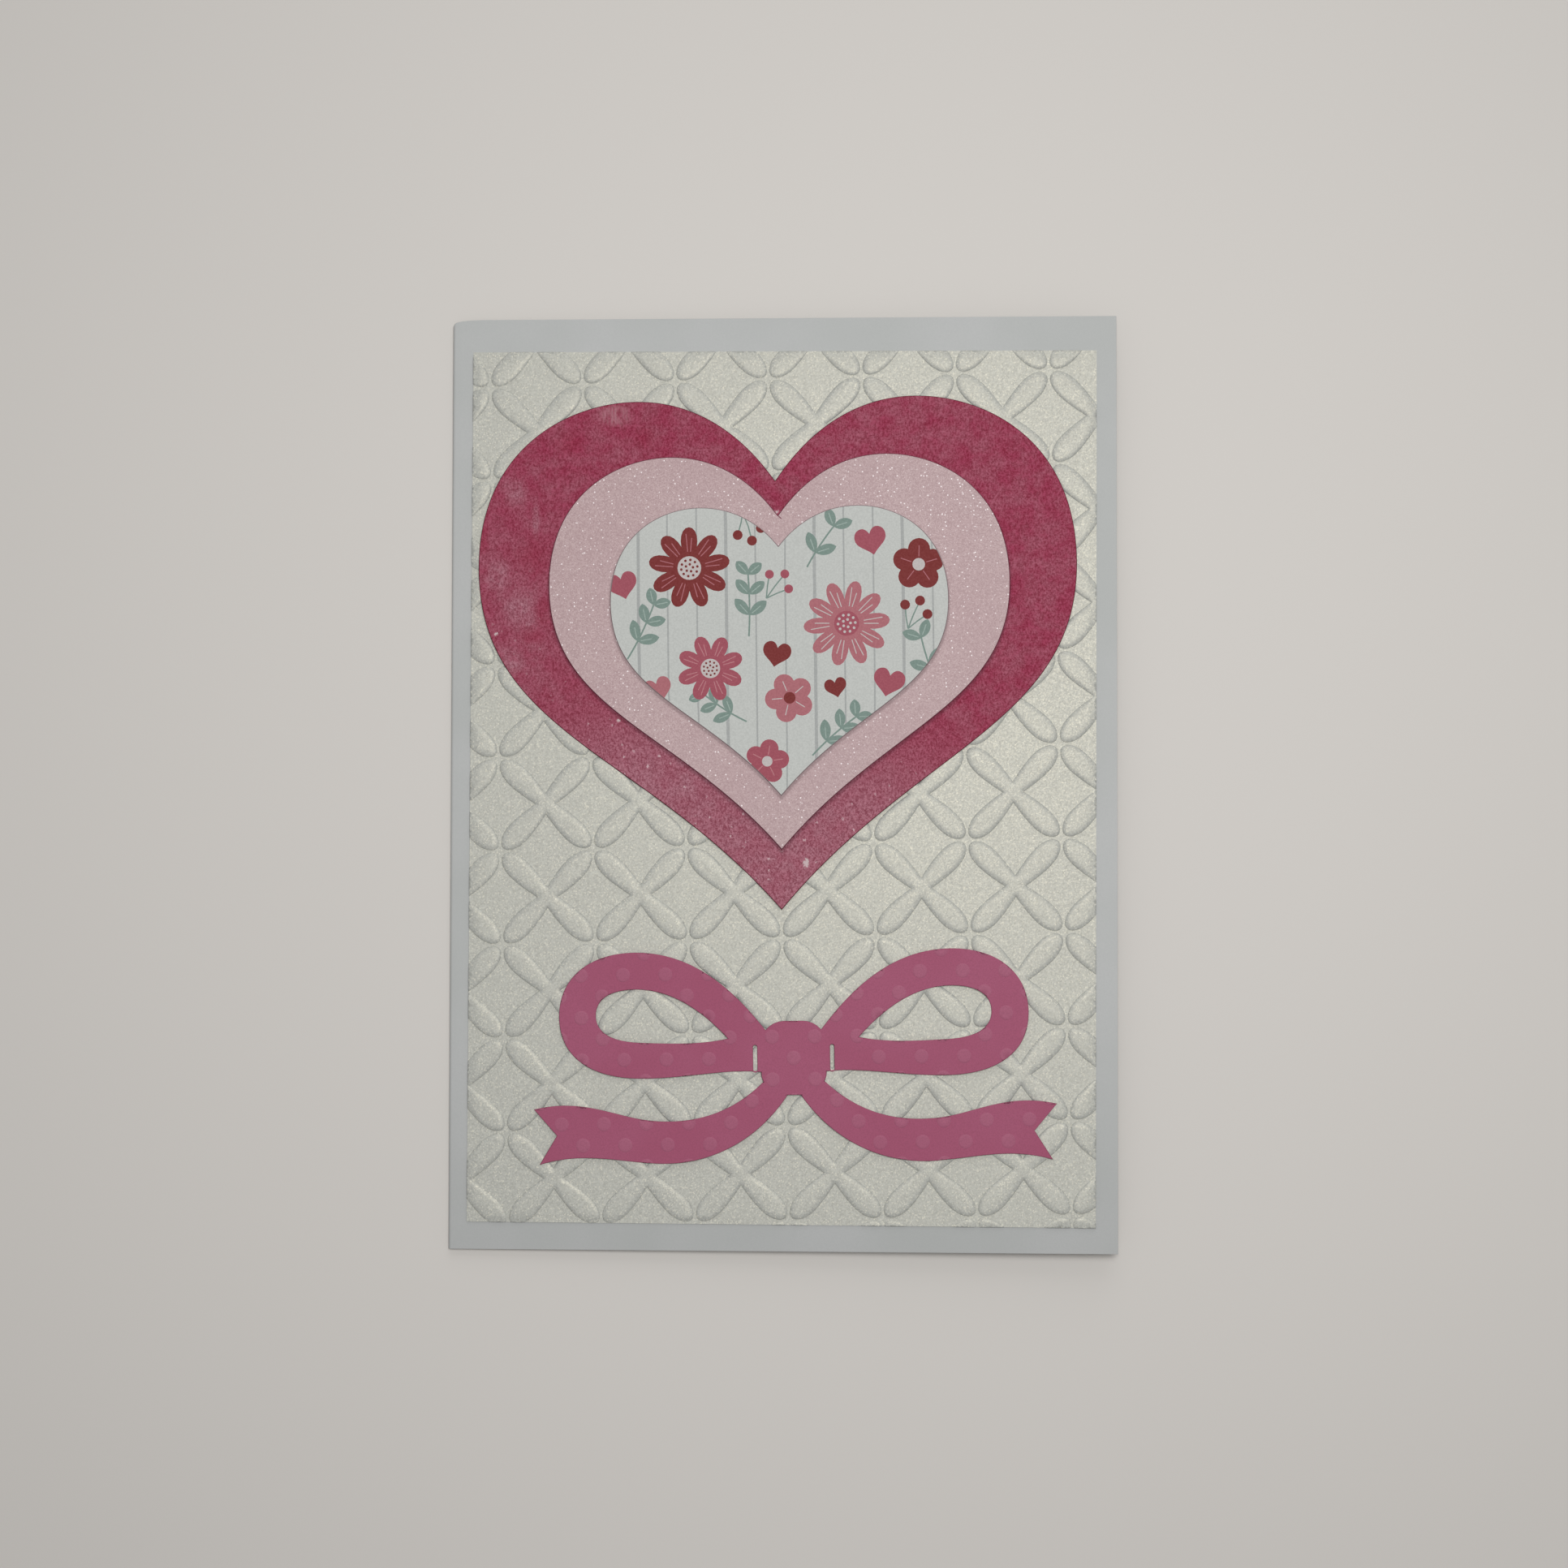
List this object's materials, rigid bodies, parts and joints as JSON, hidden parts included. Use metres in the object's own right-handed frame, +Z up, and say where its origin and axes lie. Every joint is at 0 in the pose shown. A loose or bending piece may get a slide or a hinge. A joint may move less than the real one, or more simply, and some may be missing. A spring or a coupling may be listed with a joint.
{
  "type": "greeting card",
  "caption": "Handmade folded greeting card lying closed, with an embossed lattice panel, nested die-cut hearts and a die-cut ribbon bow glued on its front leaf.",
  "frame": {"origin": "centre of the card's footprint, on the surface that it lies on", "axes": "+X from the fold to the free edges, +Y to the top of the card, +Z up out of the front"},
  "size_m": [0.127, 0.1778, 0.0055],
  "materials": {
    "white_card": "smooth matt white card stock",
    "pearl_card": "cream card with a pearl shimmer, embossed",
    "raspberry_card": "mottled raspberry card with a fine woven grain, lightly scuffed",
    "glitter_card": "pale pink glitter card",
    "patterned_paper": "matt off-white paper with a printed pattern",
    "dotted_pink_card": "matt deep pink card with small raised dots"
  },
  "bodies": {
    "root": {"card_base": "white_card", "embossed_panel": "pearl_card", "outer_heart": "raspberry_card", "middle_heart": "glitter_card", "inner_heart": "patterned_paper", "bow_diecut": "dotted_pink_card"}
  },
  "joints": []
}
